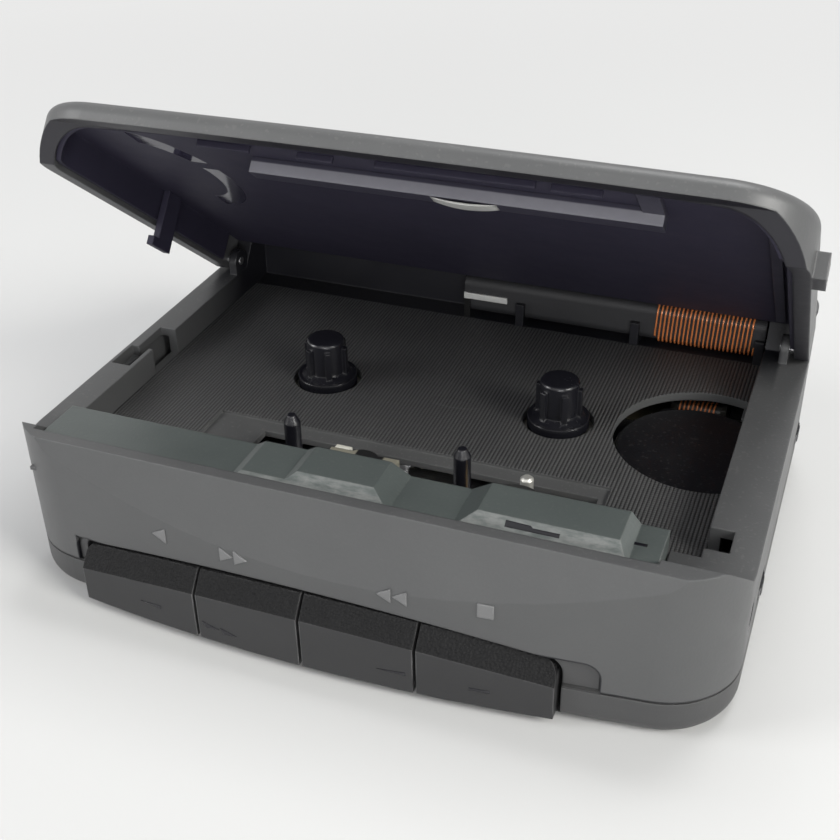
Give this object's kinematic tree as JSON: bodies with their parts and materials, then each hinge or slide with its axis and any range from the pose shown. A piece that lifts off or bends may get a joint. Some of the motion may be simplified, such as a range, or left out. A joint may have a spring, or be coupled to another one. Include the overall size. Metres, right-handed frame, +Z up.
{
  "type": "portable cassette player",
  "caption": "Portable cassette player with radio: a hinged lid stands open over the tape deck, with push buttons along the front edge.",
  "frame": {"origin": "centre of the casing's flat underside", "axes": "+X to the right along the front, +Y from the buttons towards the hinge, +Z up"},
  "size_m": [0.1164, 0.0898, 0.0745],
  "materials": {
    "casing": "satin grey",
    "lower_casing": "satin dark grey",
    "lid_outside": "satin light grey",
    "lid_inside": "glossy black",
    "deck": "ribbed dark grey",
    "cover": "satin grey",
    "buttons": "textured dark grey",
    "black_plastic": "smooth black",
    "white_plastic": "smooth white",
    "steel": "rolled",
    "dark_metal": "satin black",
    "chrome": "polished",
    "copper": "enamelled copper wire",
    "ferrite": "sintered",
    "bronze": "turned",
    "rubber": "smooth",
    "board": "laminate",
    "cell": "printed sleeve, bare"
  },
  "bodies": {
    "root": {"main_casing": "casing", "bottom_cover": "lower_casing", "deck_plate": "deck", "head_cover": "cover", "chassis_plate": "steel", "pivot_posts": "steel", "guide_pins": "black_plastic", "capstan_bearing": "bronze", "motor": "dark_metal", "drive_belt": "rubber", "radio_board": "board", "control_board": "board", "ferrite_rod": "ferrite", "antenna_coil": "copper", "rod_clip": "chrome", "tuning_coil": "copper", "coil_former": "white_plastic", "tuning_capacitor": "black_plastic", "volume_control": "steel", "headphone_jack": "black_plastic", "battery": "cell", "battery_contacts": "chrome", "casing_screws": "steel", "chassis_screws": "steel", "switch_body": "steel"},
    "lid": {"lid_shell": "lid_outside", "lid_liner": "lid_inside", "cassette_guide": "lid_inside", "leaf_spring": "chrome", "lid_catch": "lid_inside", "hinge_pins": "steel"},
    "play": {"play_button": "buttons"},
    "rewind": {"rewind_button": "buttons"},
    "fast_forward": {"fast_forward_button": "buttons"},
    "stop": {"stop_button": "buttons"},
    "head": {"head_slide": "steel", "tape_head": "chrome", "tape_guide": "white_plastic"},
    "pinch_arm": {"pinch_arm": "steel"},
    "pinch_roller": {"pinch_roller": "rubber"},
    "flywheel": {"flywheel": "bronze", "capstan_shaft": "chrome"},
    "pulley": {"motor_pulley": "bronze"},
    "supply_reel": {"supply_spindle": "black_plastic", "supply_gear": "white_plastic"},
    "takeup_reel": {"takeup_spindle": "black_plastic", "takeup_gear": "white_plastic"},
    "idler_arm": {"idler_arm": "steel"},
    "idler_gear": {"idler_gear": "white_plastic"},
    "volume_wheel": {"volume_wheel": "black_plastic"},
    "tuning_wheel": {"tuning_wheel": "black_plastic"},
    "switch_knob": {"switch_knob": "black_plastic"},
    "battery_door": {"battery_door": "lower_casing"}
  },
  "joints": [
    {"name": "lid_hinge", "type": "hinge", "parent": "root", "child": "lid", "pos_m": [0, 0.0315, 0.0256], "axis": [1, 0, 0], "range_deg": [0, 39]},
    {"name": "play_press", "type": "slide", "parent": "root", "child": "play", "axis": [0, 1, 0], "range_m": [0, 0.003], "stiffness_N_per_m": 250},
    {"name": "rewind_press", "type": "slide", "parent": "root", "child": "rewind", "axis": [0, 1, 0], "range_m": [0, 0.003], "stiffness_N_per_m": 250},
    {"name": "fast_forward_press", "type": "slide", "parent": "root", "child": "fast_forward", "axis": [0, 1, 0], "range_m": [0, 0.003], "stiffness_N_per_m": 250},
    {"name": "stop_press", "type": "slide", "parent": "root", "child": "stop", "axis": [0, 1, 0], "range_m": [0, 0.003], "stiffness_N_per_m": 250},
    {"name": "head_travel", "type": "slide", "parent": "root", "child": "head", "axis": [0, 1, 0], "range_m": [0, 0.003]},
    {"name": "pinch_swing", "type": "hinge", "parent": "root", "child": "pinch_arm", "pos_m": [0.03465, -0.03025, 0.0185], "axis": [0, 0, -1], "range_deg": [0, 6.4]},
    {"name": "pinch_roller_spin", "type": "hinge", "parent": "pinch_arm", "child": "pinch_roller", "pos_m": [0.02295, -0.02865, 0.0135], "axis": [0, 0, 1], "continuous": true},
    {"name": "flywheel_spin", "type": "hinge", "parent": "root", "child": "flywheel", "pos_m": [0.02295, -0.02205, 0.0135], "axis": [0, 0, 1], "continuous": true},
    {"name": "pulley_spin", "type": "hinge", "parent": "root", "child": "pulley", "pos_m": [0.04245, 0.00825, 0.0135], "axis": [0, 0, 1], "continuous": true},
    {"name": "supply_spin", "type": "hinge", "parent": "root", "child": "supply_reel", "pos_m": [-0.0226, 0.00675, 0.0135], "axis": [0, 0, 1], "continuous": true},
    {"name": "takeup_spin", "type": "hinge", "parent": "root", "child": "takeup_reel", "pos_m": [0.0199, 0.00675, 0.0135], "axis": [0, 0, 1], "continuous": true},
    {"name": "idler_swing", "type": "hinge", "parent": "root", "child": "idler_arm", "pos_m": [-0.00135, -0.01025, 0.0155], "axis": [0, 0, 1], "range_deg": [-3, 3]},
    {"name": "idler_spin", "type": "hinge", "parent": "idler_arm", "child": "idler_gear", "pos_m": [-0.00135, 0.00275, 0.0135], "axis": [0, 0, 1], "continuous": true},
    {"name": "volume_turn", "type": "hinge", "parent": "root", "child": "volume_wheel", "pos_m": [0.04925, -0.01275, 0.0086], "axis": [0, 0, 1], "range_deg": [0, 270]},
    {"name": "tuning_turn", "type": "hinge", "parent": "root", "child": "tuning_wheel", "pos_m": [0.04925, 0.03175, 0.0086], "axis": [0, 0, 1], "range_deg": [-90, 90]},
    {"name": "switch_slide", "type": "slide", "parent": "root", "child": "switch_knob", "axis": [1, 0, 0], "range_m": [0, 0.003]},
    {"name": "door_slide", "type": "slide", "parent": "root", "child": "battery_door", "axis": [-1, 0, 0], "range_m": [0, 0.012]}
  ],
  "couplings": [
    {"joint": "head_travel", "follows": "play_press", "ratio": 1},
    {"joint": "pinch_swing", "follows": "play_press", "rad_per_m": 36.861},
    {"joint": "pulley_spin", "follows": "flywheel_spin", "ratio": 6.5882}
  ]
}
